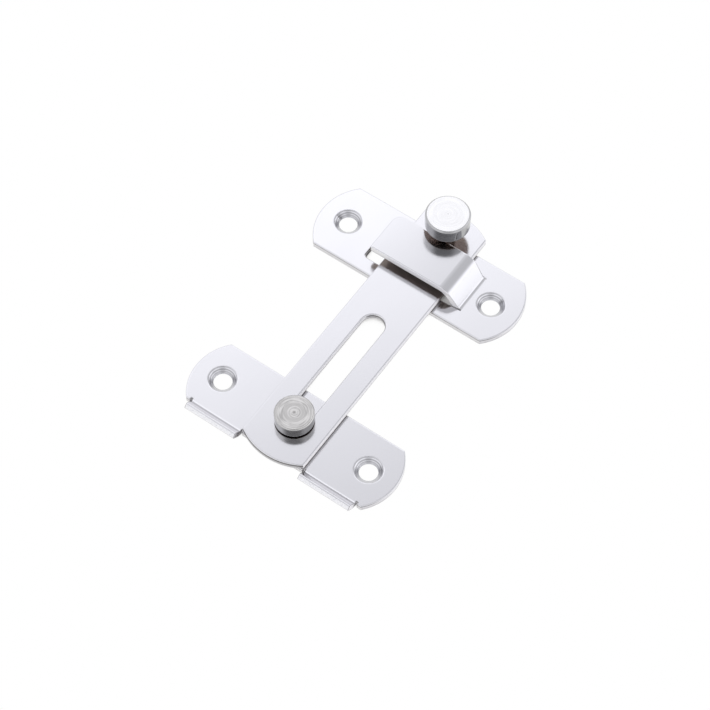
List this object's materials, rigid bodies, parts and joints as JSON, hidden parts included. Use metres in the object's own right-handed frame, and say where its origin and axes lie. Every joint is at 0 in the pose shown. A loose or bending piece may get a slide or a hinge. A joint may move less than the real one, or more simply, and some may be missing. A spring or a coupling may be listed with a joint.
{
  "type": "sliding door latch",
  "caption": "Stamped steel door latch: a slotted bar turns and slides on a headed stud of a base plate and catches under a hook lanced from a keeper plate.",
  "frame": {"origin": "on the pivot stud's axis, in the plane that both plates are screwed to", "axes": "+X along the plates, +Y along the closed bar towards the keeper, +Z away from the door"},
  "size_m": [0.068, 0.0944, 0.0146],
  "materials": {
    "plate_sheet": "satin stainless sheet",
    "bar_sheet": "satin stainless sheet, polished along its length",
    "turned_steel": "turned stainless steel with fine rings"
  },
  "bodies": {
    "plates": {"base_plate": "plate_sheet", "keeper_plate": "plate_sheet"},
    "pivot": {"pivot_stud": "turned_steel"},
    "bar": {"latch_bar": "bar_sheet", "pull_knob": "turned_steel"}
  },
  "joints": [
    {"name": "bar_swing", "type": "hinge", "parent": "plates", "child": "pivot", "pos_m": [0, 0, 0], "axis": [0, 0, 1], "range_deg": [0, 90]},
    {"name": "bar_slide", "type": "slide", "parent": "pivot", "child": "bar", "axis": [0, 1, 0], "range_m": [-0.0016, 0.0005]}
  ]
}
